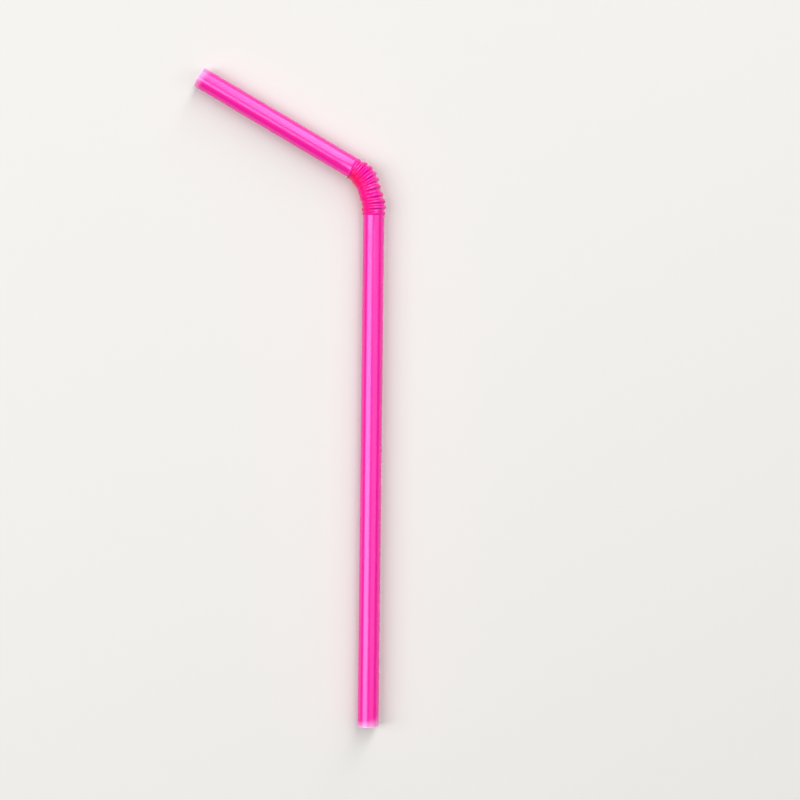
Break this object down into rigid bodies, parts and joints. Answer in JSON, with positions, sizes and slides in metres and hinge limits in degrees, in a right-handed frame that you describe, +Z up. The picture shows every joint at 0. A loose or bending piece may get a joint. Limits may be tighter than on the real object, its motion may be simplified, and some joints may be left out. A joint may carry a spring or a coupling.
{
  "type": "flexible drinking straw",
  "caption": "Bendy drinking straw of thin plant-based plastic: a long straight stem, a pleated bellows set at an angle, and a short arm with a square-cut mouth.",
  "frame": {"origin": "centre of the straw's footprint, on the surface that it lies on", "axes": "+Y along the stem from its cut end to the pleats, +X away from the side that the arm points to, +Z up out of the surface"},
  "size_m": [0.0546, 0.1858, 0.007],
  "materials": {
    "straw_wall": "smooth extruded plant-based plastic, hot pink, glossy and slightly see-through"
  },
  "bodies": {
    "root": {"straw": "straw_wall"}
  },
  "joints": []
}
